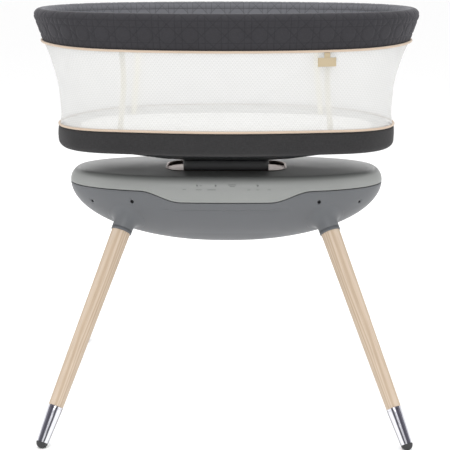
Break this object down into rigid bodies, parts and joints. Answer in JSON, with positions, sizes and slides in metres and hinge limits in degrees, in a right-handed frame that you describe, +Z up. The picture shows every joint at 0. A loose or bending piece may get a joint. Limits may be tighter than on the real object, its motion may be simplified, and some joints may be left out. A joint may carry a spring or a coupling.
{
  "type": "bassinet on stand",
  "caption": "Motor-driven bassinet: oval mesh-walled basket with a quilted rim on a short gliding neck, over a smooth pod with splayed wooden legs.",
  "frame": {"origin": "on the floor under the middle of the stand", "axes": "+X along the basket and the glide, +Z up, the control side faces -Y"},
  "size_m": [0.85, 0.715, 0.898],
  "materials": {
    "upper_plastic": "fine moulded texture, warm grey with a green cast",
    "lower_plastic": "fine moulded texture, cool grey",
    "dark_plastic": "fine moulded texture, charcoal",
    "champagne_metal": "satin champagne grey",
    "frame_steel": "zinc plated sheet",
    "rail_aluminium": "cast and machined",
    "rod_steel": "ground",
    "motor_can": "satin dark grey",
    "board_green": "solder mask",
    "clear_guides": "translucent",
    "leg_wood": "pale ash, satin lacquer",
    "polished_metal": "polished",
    "foot_rubber": "matt",
    "gear_brass": "machined",
    "bush_polymer": "low friction polymer",
    "tube_aluminium": "drawn tube",
    "board_wood": "thin fibreboard",
    "post_cloth": "cream sleeve",
    "foam": "open cell foam",
    "quilted_fabric": "charcoal knit quilted in a cane-weave pattern",
    "piping_fabric": "tan corded piping",
    "mesh_fabric": "white open mesh",
    "band_fabric": "charcoal melange weave",
    "label_fabric": "blank cream tape",
    "sheet_fabric": "white fitted sheet"
  },
  "bodies": {
    "stand": {"upper_shell": "upper_plastic", "lower_shell": "lower_plastic", "slot_trim": "dark_plastic", "base_frame": "frame_steel", "rail_block_left": "rail_aluminium", "rail_block_right": "rail_aluminium", "guide_rods": "rod_steel", "gearbox": "rail_aluminium", "motor": "motor_can", "control_board": "board_green", "light_guides": "clear_guides", "speaker": "dark_plastic", "power_inlet": "dark_plastic", "leg_front_left": "leg_wood", "leg_front_right": "leg_wood", "leg_rear_left": "leg_wood", "leg_rear_right": "leg_wood", "ferrule_front_left": "polished_metal", "ferrule_front_right": "polished_metal", "ferrule_rear_left": "polished_metal", "ferrule_rear_right": "polished_metal", "foot_front_left": "foot_rubber", "foot_front_right": "foot_rubber", "foot_rear_left": "foot_rubber", "foot_rear_right": "foot_rubber", "leg_bolts": "rod_steel", "shell_screws": "rod_steel"},
    "drive_pinion": {"pinion": "gear_brass"},
    "glider": {"carriage": "frame_steel", "linear_bushes": "bush_polymer", "rack": "gear_brass", "slot_cover": "champagne_metal", "neck_core": "frame_steel", "neck_cover": "dark_plastic", "floor_pan": "dark_plastic", "neck_screws": "rod_steel", "floor_tube": "tube_aluminium", "mattress_board": "board_wood", "post_sockets": "bush_polymer", "post_front_left": "post_cloth", "post_front_right": "post_cloth", "post_rear_left": "post_cloth", "post_rear_right": "post_cloth", "rim_tube": "tube_aluminium", "rim_foam": "foam", "rim_cover": "quilted_fabric", "piping_upper": "piping_fabric", "mesh_wall": "mesh_fabric", "piping_lower": "piping_fabric", "lower_band": "band_fabric", "label_loop": "piping_fabric", "label": "label_fabric"},
    "mattress": {"mattress": "sheet_fabric"}
  },
  "joints": [
    {"name": "glide", "type": "slide", "parent": "stand", "child": "glider", "axis": [1, 0, 0], "range_m": [-0.025, 0.025]},
    {"name": "pinion_spin", "type": "hinge", "parent": "stand", "child": "drive_pinion", "pos_m": [0, -0.01, 0.4965], "axis": [0, 0, 1], "range_deg": [-72, 72]},
    {"name": "mattress_lift", "type": "slide", "parent": "glider", "child": "mattress", "axis": [0, 0, 1], "range_m": [0, 0.32]}
  ],
  "couplings": [
    {"joint": "pinion_spin", "follows": "glide", "rad_per_m": -50}
  ]
}
